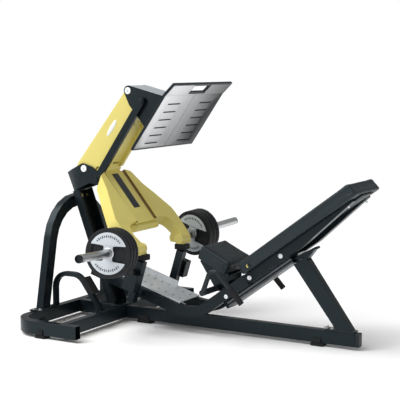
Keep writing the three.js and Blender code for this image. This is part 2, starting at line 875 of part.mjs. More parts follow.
function link() {
  const group = new THREE.Group();
  group.position.set(LEVER_PIVOT.x + LINK_OFFSET.x, 0, LEVER_PIVOT.z + LINK_OFFSET.z);
  group.rotation.y = -ARM_ANGLE;
  frame.add(group);
  const { half } = LINK;
  const outline = rounded([
    [-half, -half, half - 1],
    [ARM_LENGTH + half, -half, half - 1],
    [ARM_LENGTH + half, half, half - 1],
    [-half, half, half - 1],
  ]);
  add(
    group,
    "levelling_link",
    cut(
      extrude(outline, "y", -LINK.outer, -LINK.inner),
      rodY(0, 0, -200, 0, LINK_PIN_R + RUN, 20),
      rodY(ARM_LENGTH, 0, -200, 0, LINK_PIN_R + 1, 20),
    ),
    frameBlack,
  );
}

// A pin across both cheeks with a round cap at each end.
function capPin(group, name, x, z) {
  add(
    group,
    name,
    join(
      rodY(x, z, -CHEEK_OUT - 6, CHEEK_OUT + 6, PIN_R),
      rodY(x, z, CHEEK_OUT + GAP, CHEEK_OUT + 6.5, 21.5, 28),
      rodY(x, z, -CHEEK_OUT - 6.5, -CHEEK_OUT - GAP, 21.5, 28),
    ),
    pinWhite,
  );
}

function linkPin(group, name, x, z) {
  add(
    group,
    name,
    join(
      rodY(x, z, -LINK.outer - 4, -CHEEK_IN - GAP, LINK_PIN_R, 20),
      rodY(x, z, -LINK.outer - 6, -LINK.outer - GAP, 17, 20),
      rodY(x, z, -LINK.inner + GAP, -CHEEK_OUT - GAP, 17, 20),
    ),
    frameBlack,
  );
}

// The footplate, as places on its front face: bottom edge, fold and top edge.
const FACE = { bottom: [-333, 1124], fold: [-105, 1450], top: [-35, 1517], half: 350 };

// The band between two depths behind the footplate's front face, short of each end by an inset.
function faceBand(front, back, inset) {
  const [p0, p1, p2] = [FACE.bottom, FACE.fold, FACE.top].map(
    ([x, z]) => new THREE.Vector2(x - FOOTPLATE_PIVOT.x, z - FOOTPLATE_PIVOT.z),
  );
  const lower = p1.clone().sub(p0).normalize();
  const upper = p2.clone().sub(p1).normalize();
  const behind = (dir) => new THREE.Vector2(-dir.y, dir.x);
  const miter = behind(lower).add(behind(upper)).normalize();
  const stretch = 1 / miter.dot(behind(lower));
  const row = (depth) => [
    p0.clone().addScaledVector(lower, inset).addScaledVector(behind(lower), depth),
    p1.clone().addScaledVector(miter, depth * stretch),
    p2.clone().addScaledVector(upper, -inset).addScaledVector(behind(upper), depth),
  ];
  return row(front).concat(row(back).reverse());
}

function footplate() {
  const group = new THREE.Group();
  group.position.set(FOOTPLATE_PIVOT.x, 0, FOOTPLATE_PIVOT.z);
  frame.add(group);
  const tray = 16;
  const sheet = 4;
  const rim = 10;
  const foldAngle = Math.atan2(FACE.top[1] - FACE.fold[1], FACE.top[0] - FACE.fold[0]);
  const lowAngle = Math.atan2(FACE.fold[1] - FACE.bottom[1], FACE.fold[0] - FACE.bottom[0]);
  const onFace = (geometry, start, angle) =>
    geometry
      .applyMatrix4(new THREE.Matrix4().makeRotationY(-angle))
      .translate(start[0] - FOOTPLATE_PIVOT.x, 0, start[1] - FOOTPLATE_PIVOT.z);
  const handHole = (grow) => {
    const hole = box(24 - grow, 74 + grow, -86 - grow, 86 + grow, -60, 60);
    return onFace(hole, FACE.fold, foldAngle);
  };
  add(
    group,
    "footplate_tray",
    cut(
      extrude(faceBand(0, tray, 0), "y", -FACE.half, FACE.half),
      extrude(faceBand(-5, sheet + GAP, rim), "y", -FACE.half + rim, FACE.half - rim),
      ...SIDES.map(([, sign]) =>
        extrude(faceBand(sheet + 5, tray + 5, rim), "y", sign * 97, sign * (FACE.half - rim)),
      ),
      handHole(0),
    ),
    frameBlack,
  );
  const slots = (sign) =>
    Array.from({ length: 6 }, (_, i) => {
      const u = 46 + i * 58;
      const slot = box(u - 3.5, u + 3.5, sign * 185 - 68, sign * 185 + 68, -60, 60);
      return onFace(slot, FACE.bottom, lowAngle);
    });
  SIDES.forEach(([side, sign]) =>
    add(
      group,
      `footplate_sheet_${side}`,
      cut(
        extrude(faceBand(0, sheet, rim + GAP), "y", sign * 1.5, sign * (FACE.half - rim - GAP)),
        ...slots(sign),
        handHole(12),
      ),
      brushed,
    ),
  );
  footplateBracket(group, tray + GAP);
  capPin(lever, "footplate_pin", FOOTPLATE_PIVOT.x - LEVER_PIVOT.x, FOOTPLATE_PIVOT.z - LEVER_PIVOT.z);
  linkPin(group, "link_pin_upper", LINK_OFFSET.x, LINK_OFFSET.z);
}

function footplateBracket(group, depth) {
  const slope = (FACE.fold[1] - FACE.bottom[1]) / (FACE.fold[0] - FACE.bottom[0]);
  const lean = Math.atan(slope);
  const backX = (z) => FACE.bottom[0] + (z - FACE.bottom[1]) / slope - depth / Math.sin(lean);
  const toPivot = ([x, z]) => new THREE.Vector2(x - FOOTPLATE_PIVOT.x, z - FOOTPLATE_PIVOT.z);
  const upper = [backX(1412), 1412];
  const lower = [backX(1150), 1150];
  const nose = [-523, 1504];
  const outline = [nose, upper, lower, [-469, 1324], [-522, 1382], [-559, 1458]].map(toPivot);
  const cover = [nose, upper, [upper[0] - 4.4, upper[1] - 6], [nose[0] - 1.5, nose[1] - 6]].map(toPivot);
  const back = [upper, lower, [lower[0] - 8, lower[1]], [upper[0] - 8, upper[1]]].map(toPivot);
  const cheeks = SIDES.flatMap(([, sign]) => [
    extrude(outline, "y", sign * CHEEK_IN, sign * CHEEK_OUT),
    rodY(0, 0, sign * CHEEK_IN, sign * CHEEK_OUT, 32, 28),
  ]);
  const walls = [cover, back].map((points) => extrude(points, "y", -CHEEK_OUT, CHEEK_OUT));
  add(
    group,
    "footplate_bracket",
    cut(
      join(...cheeks, ...walls),
      rodY(0, 0, -200, 200, PIN_R + RUN),
      rodY(LINK_OFFSET.x, LINK_OFFSET.z, -200, 0, LINK_PIN_R + RUN, 20),
    ),
    frameBlack,
  );
}

// ---- weight horns and discs -------------------------------------------------------------------
function horns() {
  SIDES.forEach(([side, sign]) => {
    const at = (y) => hornPoint(y, sign);
    add(
      lever,
      `weight_horn_${side}`,
      join(
        rod(at(HORN.root), at(DISC.first - 1), 31, 28),
        rod(at(DISC.first - 2), at(HORN.tip[1]), HORN.r, 28),
      ),
      chrome,
    );
    const axis = new THREE.Vector3(...at(900)).sub(new THREE.Vector3(...at(500))).normalize();
    for (let i = 0; i < 3; i++) {
      const group = new THREE.Group();
      group.position.set(...at(DISC.first + GAP));
      group.quaternion.setFromUnitVectors(new THREE.Vector3(0, 0, 1), axis);
      lever.add(group);
      const disc = discGeometry().translate(0, 0, i * DISC.pitch);
      add(group, `weight_disc_${i + 1}_${side}`, disc, discBlack);
    }
  });
}

// A disc with a raised rubber rim, a hub boss and two pockets on each face.
function discGeometry() {
  const t = DISC.thickness;
  const profile = [
    [DISC.bore, 0],
    [142, 2],
    [146, 0],
    [DISC.r, 4],
    [DISC.r, t - 4],
    [146, t],
    [142, t - 2],
    [DISC.bore, t],
    [DISC.bore, 0],
  ].map(([r, z]) => new THREE.Vector2(r, z));
  const body = new THREE.LatheGeometry(profile, 28).rotateX(Math.PI / 2);
  const pockets = [-1, 1].flatMap((sign) => {
    const outline = rounded([
      [sign * 42, -16],
      [sign * 60, -46],
      [sign * 108, -52],
      [sign * 121, 0],
      [sign * 108, 52],
      [sign * 60, 46],
      [sign * 42, 16],
    ]);
    return [extrude(outline, "z", -50, -t + 14), extrude(outline, "z", -14, 10)];
  });
  return cut(body, ...pockets);
}

floorFrame();
feet();
arch();
column();
headBracket();
stopLoops();
sideTubes();
stepPlate();
const railGroup = rail();
rearStrut();
seat();
backrest(railGroup);
catches();
releaseHandles();
leverArm();
leverFork();
horns();
link();
footplate();
capPin(frame, "lever_pivot_pin", LEVER_PIVOT.x, LEVER_PIVOT.z);
linkPin(frame, "link_pin_lower", LEVER_PIVOT.x + LINK_OFFSET.x, LEVER_PIVOT.z + LINK_OFFSET.z);

export default machine;
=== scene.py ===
import json
import math

import bmesh
import bpy
from mathutils import Matrix, Vector
from mathutils.bvhtree import BVHTree


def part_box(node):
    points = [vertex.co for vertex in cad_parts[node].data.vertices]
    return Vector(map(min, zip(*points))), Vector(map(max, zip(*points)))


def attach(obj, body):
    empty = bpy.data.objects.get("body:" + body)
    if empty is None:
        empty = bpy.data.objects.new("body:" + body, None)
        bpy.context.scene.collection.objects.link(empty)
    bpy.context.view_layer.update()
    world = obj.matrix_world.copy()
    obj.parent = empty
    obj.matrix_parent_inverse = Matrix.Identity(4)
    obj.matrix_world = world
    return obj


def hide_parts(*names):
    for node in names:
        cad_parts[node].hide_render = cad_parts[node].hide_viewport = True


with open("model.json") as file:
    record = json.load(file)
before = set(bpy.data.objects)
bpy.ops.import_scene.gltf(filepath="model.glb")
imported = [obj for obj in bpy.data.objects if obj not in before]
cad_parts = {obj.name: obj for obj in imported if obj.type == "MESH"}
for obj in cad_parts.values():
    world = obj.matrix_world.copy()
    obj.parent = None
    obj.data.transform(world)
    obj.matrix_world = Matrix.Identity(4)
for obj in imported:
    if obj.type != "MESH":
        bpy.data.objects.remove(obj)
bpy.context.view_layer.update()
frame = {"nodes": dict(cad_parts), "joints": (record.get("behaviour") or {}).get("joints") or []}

# ---- places taken from the frame --------------------------------------------------------------
JOINT = {joint["name"]: joint for joint in frame["joints"]}
NODES = frame["nodes"]


def pivot(name):
    return Vector(JOINT[name]["pos_m"])


def turned(origin, angle):
    """A frame at origin whose X axis rises by angle from +X, in the X-Z plane."""
    return Matrix.Translation(origin) @ Matrix.Rotation(-angle, 4, "Y")


LEVER = pivot("lever_pivot")
PLATE_PIVOT = pivot("footplate_pivot")
RELEASE = pivot("release_pivot")
ARM = PLATE_PIVOT - LEVER
ARM_ANGLE = math.atan2(ARM.z, ARM.x)
ARM_PLACE = turned(LEVER, ARM_ANGLE)
FORK_PLACE = turned(LEVER, math.radians(-50.2))
SHIFT = LEVER.x + 0.872  # the model's own shift along X

RAIL_ANGLE = math.atan2(JOINT["backrest_slide"]["axis"][2], JOINT["backrest_slide"]["axis"][0])
RAIL_PLACE = turned(Vector((0.372 + SHIFT, 0, 0.345)), RAIL_ANGLE)
SIDES = (("near", -1), ("far", 1))
QUARTER = Matrix.Rotation(math.radians(90), 4, "X")  # stands a flat outline up in the X-Z plane


# ---- camera, light and floor ------------------------------------------------------------------
def make_camera():
    data = bpy.data.cameras.new("camera")
    camera = bpy.data.objects.new("camera", data)
    bpy.context.scene.collection.objects.link(camera)
    camera.location = (3.4207 + SHIFT, -6.0178, 1.6337)
    azimuth, pitch = math.radians(30.115), math.radians(6.761)
    looking = Vector((
        -math.sin(azimuth) * math.cos(pitch),
        math.cos(azimuth) * math.cos(pitch),
        -math.sin(pitch),
    ))
    camera.rotation_mode = "QUATERNION"
    camera.rotation_quaternion = looking.to_track_quat("-Z", "Y")
    data.sensor_width = 36.0
    data.lens = 102.87
    data.clip_end = 200.0
    bpy.context.scene.camera = camera


def area_light(name, place, target, size, power, colour=(1, 1, 1)):
    data = bpy.data.lights.new(name, "AREA")
    data.shape = "RECTANGLE"
    data.size, data.size_y = size
    data.energy = power
    data.color = colour
    lamp = bpy.data.objects.new(name, data)
    bpy.context.scene.collection.objects.link(lamp)
    lamp.location = place
    lamp.rotation_mode = "QUATERNION"
    lamp.rotation_quaternion = (Vector(target) - Vector(place)).to_track_quat("-Z", "Y")
    return lamp


def make_studio():
    scene = bpy.context.scene
    scene.view_settings.view_transform = "Standard"
    world = bpy.data.worlds.new("studio")
    scene.world = world
    world.use_nodes = True
    nodes, links = world.node_tree.nodes, world.node_tree.links
    seen = nodes["Background"]
    seen.inputs["Color"].default_value = (1.0, 1.0, 1.0, 1)
    seen.inputs["Strength"].default_value = 1.0
    lit = nodes.new("ShaderNodeBackground")
    lit.inputs["Color"].default_value = (1.0, 1.0, 1.0, 1)
    lit.inputs["Strength"].default_value = 0.36
    rays = nodes.new("ShaderNodeLightPath")
    both = nodes.new("ShaderNodeMixShader")
    links.new(rays.outputs["Is Camera Ray"], both.inputs["Fac"])
    links.new(lit.outputs["Background"], both.inputs[1])
    links.new(seen.outputs["Background"], both.inputs[2])
    links.new(both.outputs["Shader"], nodes["World Output"].inputs["Surface"])
    sun = bpy.data.lights.new("sky", "SUN")
    sun.energy = 2.55
    sun.angle = math.radians(48)
    lamp = bpy.data.objects.new("sky", sun)
    scene.collection.objects.link(lamp)
    lamp.rotation_mode = "QUATERNION"
    lamp.rotation_quaternion = Vector((0.42, 0.34, -1.0)).to_track_quat("-Z", "Y")
    area_light("key", (-2.9, -3.4, 3.0), (-0.3, 0, 0.7), (1.6, 2.6), 70)
    area_light("side", (4.4, -1.6, 1.6), (0.2, 0, 0.6), (1.2, 2.2), 26)
    half = 60.0
    floor_mesh = bpy.data.meshes.new("studio_floor")
    corners = [(-half, -half, 0), (half, -half, 0), (half, half, 0), (-half, half, 0)]
    floor_mesh.from_pydata(corners, [], [(0, 1, 2, 3)])
    floor = bpy.data.objects.new("studio_floor", floor_mesh)
    scene.collection.objects.link(floor)
    paint = bpy.data.materials.new("studio_floor")
    paint.use_nodes = True
    surface = paint.node_tree.nodes["Principled BSDF"]
    surface.inputs["Base Color"].default_value = (0.97, 0.97, 0.972, 1)
    surface.inputs["Roughness"].default_value = 0.8
    surface.inputs["Specular IOR Level"].default_value = 0.2
    floor.data.materials.append(paint)


# ---- materials --------------------------------------------------------------------------------
COOL = (0.80, 0.97, 1.0)  # tint of the reflections on black coatings


class Surface:
    """A material being built: its nodes, links and principled shader."""

    def __init__(self, name, roughness, metallic=0.0):
        self.material = bpy.data.materials.new(name)
        self.material.use_nodes = True
        self.nodes = self.material.node_tree.nodes
        self.links = self.material.node_tree.links
        self.shader = self.nodes["Principled BSDF"]
        self.shader.inputs["Roughness"].default_value = roughness
        self.shader.inputs["Metallic"].default_value = metallic
        self.place = self.nodes.new("ShaderNodeTexCoord").outputs["Object"]

    def noise(self, scale, detail=3.0, stretch=None):
        source = self.place
        if stretch:
            mapping = self.nodes.new("ShaderNodeMapping")
            mapping.inputs["Scale"].default_value = stretch
            self.links.new(source, mapping.inputs["Vector"])
            source = mapping.outputs["Vector"]
        node = self.nodes.new("ShaderNodeTexNoise")
        node.inputs["Scale"].default_value = scale
        node.inputs["Detail"].default_value = detail
        self.links.new(source, node.inputs["Vector"])
        return node.outputs["Fac"]

    def cells(self, scale, feature="DISTANCE_TO_EDGE"):
        node = self.nodes.new("ShaderNodeTexVoronoi")
        node.feature = feature
        node.inputs["Scale"].default_value = scale
        self.links.new(self.place, node.inputs["Vector"])
        return node.outputs["Distance"]

    def remap(self, value, low, high, to_low, to_high):
        node = self.nodes.new("ShaderNodeMapRange")
        for key, number in zip(("From Min", "From Max", "To Min", "To Max"), (low, high, to_low, to_high)):
            node.inputs[key].default_value = number
        self.links.new(value, node.inputs["Value"])
        return node.outputs["Result"]

    def blend(self, share, first, second):
        node = self.nodes.new("ShaderNodeMix")
        node.data_type = "RGBA"
        self.links.new(share, node.inputs["Factor"])
        for socket, value in (("A", first), ("B", second)):
            target = [s for s in node.inputs if s.name == socket and s.type == "RGBA"][0]
            if isinstance(value, tuple):
                target.default_value = (*value, 1)
            else:
                self.links.new(value, target)
        return [s for s in node.outputs if s.type == "RGBA"][0]

    def colour(self, source):
        self.links.new(source, self.shader.inputs["Base Color"])

    def roughness(self, source):
        self.links.new(source, self.shader.inputs["Roughness"])

    def bump(self, height, strength, distance, under=None):
        node = self.nodes.new("ShaderNodeBump")
        node.inputs["Strength"].default_value = strength
        node.inputs["Distance"].default_value = distance
        self.links.new(height, node.inputs["Height"])
        if under:
            self.links.new(under, node.inputs["Normal"])
        self.links.new(node.outputs["Normal"], self.shader.inputs["Normal"])
        return node.outputs["Normal"]

    # Pointiness mask of convex edges, where coated() paints highlights.
    def edges(self, low=0.505, high=0.58):
        geometry = self.nodes.new("ShaderNodeNewGeometry")
        return self.remap(geometry.outputs["Pointiness"], low, high, 0.0, 1.0)


def shade(colour, factor):
    return tuple(min(1.0, channel * factor) for channel in colour)


def coated(
    name, colour, roughness, grain=900.0, bump=0.12, spread=0.12, edge=1.6, gloss=0.4, tint=(1, 1, 1)
):
    """Powder coat or paint: fine orange peel, slow colour drift and painted highlights, a lighter colour along
    the edges.
    """
    s = Surface(name, roughness)
    s.shader.inputs["Specular IOR Level"].default_value = gloss
    s.shader.inputs["Specular Tint"].default_value = (*tint, 1)
    drift = s.blend(s.noise(3.5, 4.0), shade(colour, 1 - spread), shade(colour, 1 + spread))
    # Painted highlight: the colour is lightened by the factor edge along convex edges.
    s.colour(s.blend(s.edges(), drift, shade(colour, edge)))
    s.roughness(s.remap(s.noise(14.0, 3.0), 0.3, 0.7, roughness - 0.03, roughness + 0.04))
    s.bump(s.noise(grain, 2.0), bump, 0.0006)
    return s.material


def leather(name, colour):
    s = Surface(name, 0.45)
    s.shader.inputs["Specular IOR Level"].default_value = 0.42
    s.shader.inputs["Specular Tint"].default_value = (*COOL, 1)
    tone = s.blend(s.noise(9.0, 5.0), shade(colour, 0.86), shade(colour, 1.16))
    creases = s.remap(s.cells(420.0), 0.0, 0.16, 0.0, 1.0)
    s.colour(s.blend(creases, shade(colour, 0.7), tone))
    s.roughness(s.remap(s.noise(60.0, 4.0), 0.3, 0.7, 0.38, 0.52))
    fine = s.bump(creases, 0.35, 0.0004)
    s.bump(s.noise(38.0, 3.0), 0.12, 0.002, under=fine)
    return s.material


def rubber(name, colour, roughness=0.72):
    s = Surface(name, roughness)
    s.shader.inputs["Specular IOR Level"].default_value = 0.3
    s.colour(s.blend(s.noise(30.0, 5.0), shade(colour, 0.75), shade(colour, 1.35)))
    s.roughness(s.remap(s.noise(120.0, 4.0), 0.3, 0.7, roughness - 0.1, roughness + 0.12))
    s.bump(s.noise(1400.0, 2.0), 0.25, 0.0004)
    return s.material


def brushed(name, colour, roughness, stretch, painted_reflection_dark=None, painted_reflection_fade=None, metal=1.0):
    """Brushed metal. Optionally the tone falls from colour to a darker tone along a direction in the frame: a
    painted reflection, bright at one end and dark at the other.
    """
    s = Surface(name, roughness, metal)
    lines = s.noise(1.0, 4.0, stretch)
    tone = s.blend(lines, shade(colour, 0.9), shade(colour, 1.08))
    # Painted reflection: the colour darkens along a direction across the sheet, standing in for the bright and
    # dark surroundings it mirrors.
    if painted_reflection_fade:
        split = s.nodes.new("ShaderNodeVectorMath")
        split.operation = "DOT_PRODUCT"
        split.inputs[1].default_value = painted_reflection_fade[0]
        s.links.new(s.place, split.inputs[0])
        share = s.remap(split.outputs["Value"], painted_reflection_fade[1], painted_reflection_fade[2], 0.0, 1.0)
        tone = s.blend(share, tone, painted_reflection_dark)
    s.colour(tone)
    s.roughness(s.remap(lines, 0.3, 0.7, roughness - 0.05, roughness + 0.08))
    s.bump(lines, 0.08, 0.0004)
    return s.material


# edge=2.4 paints strong highlights along the black frame's edges.
FRAME_PAINT = coated(
    "frame_paint", (0.0034, 0.0058, 0.0078), 0.30, 350.0, 0.04, edge=2.4, gloss=0.25, tint=COOL
)
LEVER_PAINT = coated("lever_paint", (0.70, 0.60, 0.165), 0.38, 700.0, 0.08, 0.04, 1.06)
# Dark brown, painted shade for the fork's recess walls and floors.
LEVER_SHADE = coated("lever_painted_shade", (0.20, 0.13, 0.045), 0.6, spread=0.15, edge=1.1)
WHITE_CAP = coated("white_cap", (0.86, 0.87, 0.88), 0.35, spread=0.03, edge=1.05)
# Grey for the pivot sockets, and for the painted reflection on the footplate bracket's top.
GREY_TRIM_AND_REFLECTION = coated("grey_trim_and_reflection", (0.36, 0.39, 0.42), 0.36, spread=0.05, edge=1.2)
DISC_FACE = coated("disc_face", (0.50, 0.54, 0.57), 0.42, spread=0.05, edge=1.15)
DISC_BLACK = rubber("disc_black", (0.006, 0.007, 0.009), 0.5)
BLACK_RUBBER = rubber("black_rubber", (0.007, 0.008, 0.009))
BLACK_PLASTIC = coated("black_plastic", (0.006, 0.007, 0.009), 0.42, 1200.0, 0.2, gloss=0.36, tint=COOL)
HIDE = leather("pad_leather", (0.0085, 0.0130, 0.0170))
THREAD = rubber("seam_thread", (0.010, 0.013, 0.016), 0.6)
CHROME = brushed("sleeve_chrome", (0.62, 0.63, 0.64), 0.30, (8, 900, 8))
ZINC = brushed("zinc", (0.66, 0.67, 0.66), 0.32, (300, 300, 300))
BRASSY = brushed("brassy", (0.62, 0.52, 0.30), 0.35, (300, 300, 300))
ALLOY = brushed("rail_alloy", (0.12, 0.13, 0.14), 0.34, (12, 600, 12))
TREAD = brushed("step_sheet", (0.62, 0.65, 0.68), 0.42, (10, 500, 10), metal=0.3)
# The footplate sheet carries a painted reflection, its colour falling to near black towards one side.
PLATE = brushed(
    "footplate_sheet",
    (0.80, 0.81, 0.82),
    0.36,
    (500, 8, 8),
    painted_reflection_dark=(0.018, 0.020, 0.022),
    painted_reflection_fade=((-0.2009, 1.0, -0.2867), -0.70, -0.06),
)
DECAL = coated("decal", (0.012, 0.015, 0.020), 0.3, spread=0.2)
PALE_MARK = coated("pale_mark", (0.70, 0.71, 0.72), 0.45)


# ---- carried-over solids ----------------------------------------------------------------------
def dress(name, material, width=0.002, segments=2, angle=32):
    """Gives a CAD node its material and softens its edges; its mesh stays as it is."""
    node = NODES[name]
    node.data.materials.clear()
    node.data.materials.append(material)
    for face in node.data.polygons:
        face.use_smooth = True
    weld = node.modifiers.new("weld", "WELD")
    weld.merge_threshold = 0.00002
    bevel = node.modifiers.new("bevel", "BEVEL")
    bevel.width = width
    bevel.segments = segments
    bevel.limit_method = "ANGLE"
    bevel.angle_limit = math.radians(angle)
    bevel.miter_outer = "MITER_ARC"
    bevel.harden_normals = True
    normals = node.modifiers.new("normals", "WEIGHTED_NORMAL")
    normals.keep_sharp = True
    return node


def dress_frame():
    for name in ("rear_floor_tube", "cross_floor_tube", "column_floor_beam", "main_floor_beam"):
        dress(name, FRAME_PAINT, 0.005, 3)
    for name in ("arch_frame", "side_tube_near", "side_tube_far", "stop_loop_near", "stop_loop_far"):
        dress(name, FRAME_PAINT, 0.005, 3)
    for name in ("column", "head_bracket", "rear_strut", "seat_bracket", "rail_slider", "catch_shaft"):
        dress(name, FRAME_PAINT, 0.002)
    for side, _ in SIDES:
        dress(f"backrest_bar_{side}", FRAME_PAINT, 0.003)
        dress(f"catch_post_{side}", FRAME_PAINT, 0.004, 3)
        dress(f"catch_pad_{side}", BLACK_RUBBER, 0.005, 3)
        dress(f"stop_block_{side}", BLACK_RUBBER, 0.004, 3)
    for name in ("main_beam_end_cap", "rail_end_cap"):
        dress(name, BLACK_PLASTIC, 0.008, 4)
    for name in ("footplate_bracket", "footplate_tray", "levelling_link"):
        dress(name, FRAME_PAINT, 0.002)
    for name in ("link_pin_upper", "link_pin_lower"):
        dress(name, FRAME_PAINT, 0.002)
    dress("backrest_rail", ALLOY, 0.003)
    dress("step_plate", TREAD, 0.0012)
    for name in ("lever_arm", "lever_fork"):
        dress(name, LEVER_PAINT, 0.006, 3, 25)
    for name in ("backrest_cross_bolt_1", "backrest_cross_bolt_2", "lever_pivot_pin", "footplate_pin"):
        dress(name, WHITE_CAP, 0.0015)


# ---- mesh helpers -----------------------------------------------------------------------------
def new_piece(name, mesh, material, body, smooth=True, angle=35):
    piece = bpy.data.objects.new(name, mesh)
    bpy.context.scene.collection.objects.link(piece)
    mesh.materials.clear()
    mesh.materials.append(material)
    if smooth:
        for face in mesh.polygons:
            face.use_smooth = True
        mesh.set_sharp_from_angle(angle=math.radians(angle))
    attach(piece, body)
    return piece


def lathe_mesh(name, profile, place, segments=48, squeeze=None):
    """A closed solid turned about the local Z axis; the profile is (radius, height) pairs."""
    bm = bmesh.new()
    rings = []
    for radius, height in profile:
        if radius < 1e-6:
            rings.append([bm.verts.new((0, 0, height))])
            continue
        ring = []
        for k in range(segments):
            angle = 2 * math.pi * k / segments
            reach = radius * (squeeze(angle, radius, height) if squeeze else 1.0)
            ring.append(bm.verts.new((reach * math.cos(angle), reach * math.sin(angle), height)))
        rings.append(ring)
    closed = len(rings[0]) > 1
    pairs = list(zip(rings, rings[1:])) + ([(rings[-1], rings[0])] if closed else [])
    for low, high in pairs:
        for k in range(segments):
            below = [low[k % len(low)], low[(k + 1) % len(low)]]
            above = [high[(k + 1) % len(high)], high[k % len(high)]]
            corners = list(dict.fromkeys(below + above))
            if len(corners) > 2:
                bm.faces.new(corners)
    bmesh.ops.recalc_face_normals(bm, faces=bm.faces)
    bm.transform(place)
    mesh = bpy.data.meshes.new(name)
    bm.to_mesh(mesh)
    bm.free()
    return mesh


def lathe(name, profile, place, material, body, segments=48, squeeze=None):
    return new_piece(name, lathe_mesh(name, profile, place, segments, squeeze), material, body)


def from_curve(name, curve, place):
    """The mesh of a curve, in the row frame."""
    holder = bpy.data.objects.new(name, curve)
    bpy.context.scene.collection.objects.link(holder)
    bpy.context.view_layer.update()
    mesh = bpy.data.meshes.new_from_object(holder.evaluated_get(bpy.context.evaluated_depsgraph_get()))
    bpy.data.objects.remove(holder)
    mesh.name = name
    mesh.transform(place)
    bm = bmesh.new()
    bm.from_mesh(mesh)
    bmesh.ops.remove_doubles(bm, verts=bm.verts, dist=1e-6)
    bmesh.ops.recalc_face_normals(bm, faces=bm.faces)
    bm.to_mesh(mesh)
    bm.free()
    return mesh


def plate_mesh(name, outlines, thickness, place, edge=0.0006):
    """A flat plate from outlines in its local X-Y plane, the first one outside and the rest holes."""
    curve = bpy.data.curves.new(name, "CURVE")
    curve.dimensions = "2D"
    curve.fill_mode = "BOTH"
    curve.extrude = thickness / 2 - edge
    curve.bevel_depth = edge
    curve.bevel_resolution = 1
    curve.offset = -edge
    for outline in outlines:
        spline = curve.splines.new("POLY")
        spline.points.add(len(outline) - 1)
        for point, (u, v) in zip(spline.points, outline):
            point.co = (u, v, 0, 1)
        spline.use_cyclic_u = True
    return from_curve(name, curve, place)


def plate(name, outlines, thickness, place, material, body, edge=0.0006):
    return new_piece(name, plate_mesh(name, outlines, thickness, place, edge), material, body)


def pipe(name, points, radius, material, body, closed=False, sides=12):
    """A round bar along points in the row frame."""
    curve = bpy.data.curves.new(name, "CURVE")
    curve.dimensions = "3D"
    curve.bevel_depth = radius
    curve.bevel_resolution = max(1, sides // 4 - 1)
    curve.use_fill_caps = True
    spline = curve.splines.new("POLY")
    spline.points.add(len(points) - 1)
    for target, point in zip(spline.points, points):
        target.co = (*point, 1)
    spline.use_cyclic_u = closed
    return new_piece(name, from_curve(name, curve, Matrix.Identity(4)), material, body)


def arc(centre, radius, start, end, steps=10):
    """Points on an arc, by angles in degrees."""
    angles = [math.radians(start + (end - start) * k / steps) for k in range(steps + 1)]
    return [(centre[0] + radius * math.cos(a), centre[1] + radius * math.sin(a)) for a in angles]


def rounded_box(u0, u1, v0, v1, radius, steps=5):
    corners = ((u1 - radius, v1 - radius, 0), (u0 + radius, v1 - radius, 90),
               (u0 + radius, v0 + radius, 180), (u1 - radius, v0 + radius, 270))
    return [p for u, v, a in corners for p in arc((u, v), radius, a, a + 90, steps)]


def along(origin, axis, spin=0.0):
    """A frame at origin whose Z axis points along axis."""
    turn = Vector(axis).to_track_quat("Z", "Y").to_matrix().to_4x4()
    return Matrix.Translation(origin) @ turn @ Matrix.Rotation(spin, 4, "Z")


def hex_bolt(name, at, axis, across, body, material=None):
    """A hexagon head on a washer, with its edges turned down."""
    reach = across / math.sqrt(3)
    profile = [(0, 0), (across * 0.92, 0), (across * 0.92, across * 0.12), (reach, across * 0.12),
               (reach, across * 0.55), (across * 0.46, across * 0.66), (0, across * 0.66)]

    def six(angle, radius, height):
        if height <= across * 0.12 and radius > reach * 1.01:
            return 1.0
        if height >= across * 0.6:
            return 1.0
        part = (angle + math.pi / 6) % (math.pi / 3) - math.pi / 6
        return math.cos(math.pi / 6) / math.cos(part)

    return lathe(name, profile, along(at, axis), material or ZINC, body, 36, six)


def button_bolt(name, at, axis, radius, body, material=None):
    """A domed head with a round socket."""
    height = radius * 0.5
    profile = [(0, height * 0.35), (radius * 0.42, height * 0.35), (radius * 0.46, height),
               (radius * 0.75, height * 0.86), (radius * 0.94, height * 0.45), (radius, 0), (0, 0)]
    return lathe(name, profile, along(at, axis), material or WHITE_CAP, body, 32)


# ---- padded seat and backrest -----------------------------------------------------------------
def pad_outline(corners):
    """Outline in the pad's own X-Z plane with rounded corners, from (x, z, radius)."""
    points = []
    count = len(corners)
    for i, (x, z, radius) in enumerate(corners):
        here = Vector((x, z))
        back = (Vector(corners[i - 1][:2]) - here).normalized()
        ahead = (Vector(corners[(i + 1) % count][:2]) - here).normalized()
        half = back.angle(ahead) / 2
        centre = here + (back + ahead).normalized() * radius / math.sin(half)
        first = here + back * radius / math.tan(half) - centre
        last = here + ahead * radius / math.tan(half) - centre
        turn = first.angle_signed(last)
        for k in range(7):
            spun = first.copy()
            spun.rotate(Matrix.Rotation(-turn * k / 6, 2))
            points.append(spun + centre)
    return points


